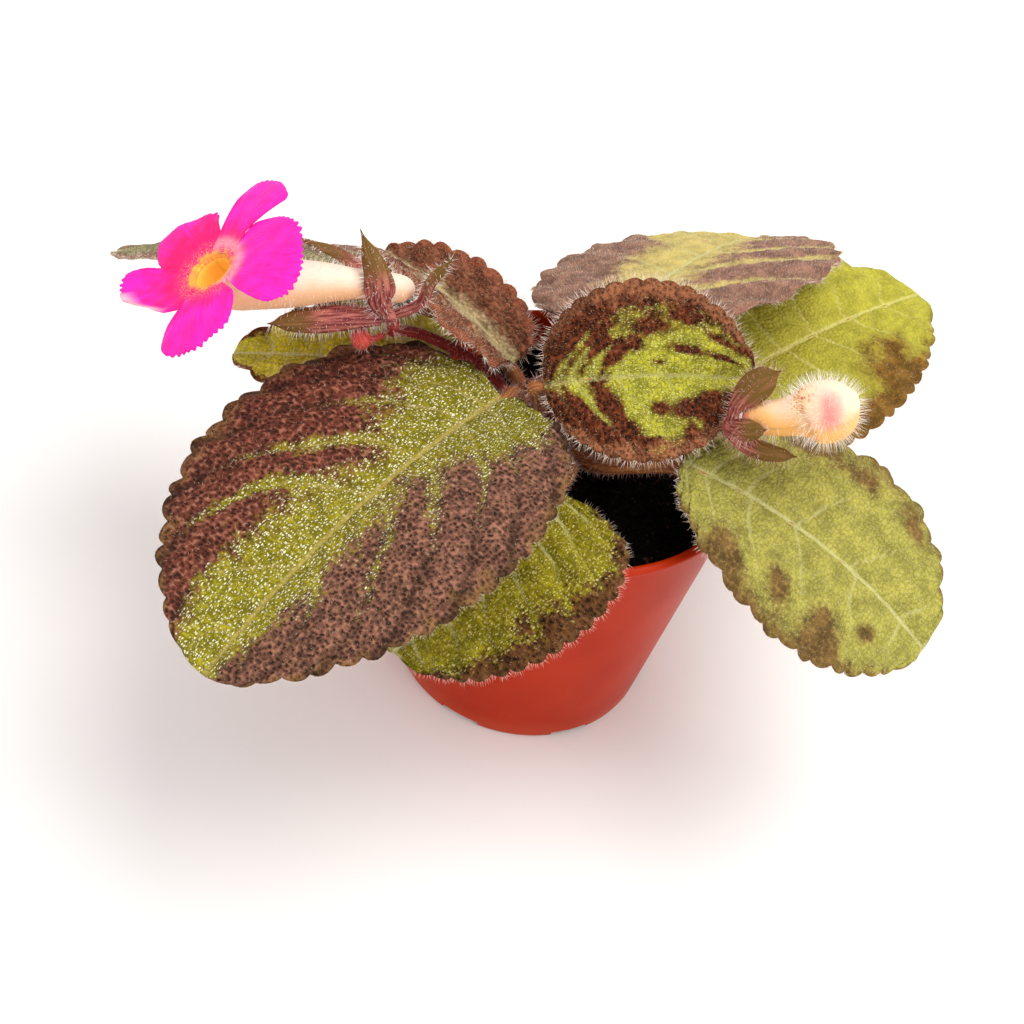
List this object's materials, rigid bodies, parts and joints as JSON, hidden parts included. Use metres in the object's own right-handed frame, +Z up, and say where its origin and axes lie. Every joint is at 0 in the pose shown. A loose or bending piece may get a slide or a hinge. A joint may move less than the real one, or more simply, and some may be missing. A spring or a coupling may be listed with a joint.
{
  "type": "potted flame violet",
  "caption": "Hairy-leaved flame violet with a pink flower and a bud, growing from soil in a small tapered terracotta-coloured pot.",
  "frame": {"origin": "the middle of the whole outline in X and Y, on the plane the pot stands on", "axes": "+X runs to the right of the picture's view, along the plant's widest spread; +Y runs away from the viewer; +Z points up, along the pot's axis"},
  "size_m": [0.1474, 0.1316, 0.09],
  "materials": {
    "pot_plastic": "satin",
    "peat_soil": "rough",
    "dark_leaf": "hairy",
    "green_leaf": "hairy",
    "stem_tissue": "hairy",
    "sepal_tissue": "hairy",
    "pale_petal": "downy",
    "vivid_petal": "soft"
  },
  "bodies": {
    "root": {"pot": "pot_plastic", "soil": "peat_soil", "stem": "stem_tissue", "leaf_front_left": "dark_leaf", "leaf_low_front": "green_leaf", "leaf_left": "green_leaf", "leaf_back_left": "dark_leaf", "leaf_back_folded": "dark_leaf", "leaf_centre": "green_leaf", "leaf_back": "dark_leaf", "leaf_back_right": "green_leaf", "leaf_right": "green_leaf", "flower_tube": "pale_petal", "flower_limb": "vivid_petal", "flower_sepals": "sepal_tissue", "flower_stalk": "stem_tissue", "young_bud": "sepal_tissue", "bud": "pale_petal", "bud_sepals": "sepal_tissue", "bud_stalk": "stem_tissue"}
  },
  "joints": []
}
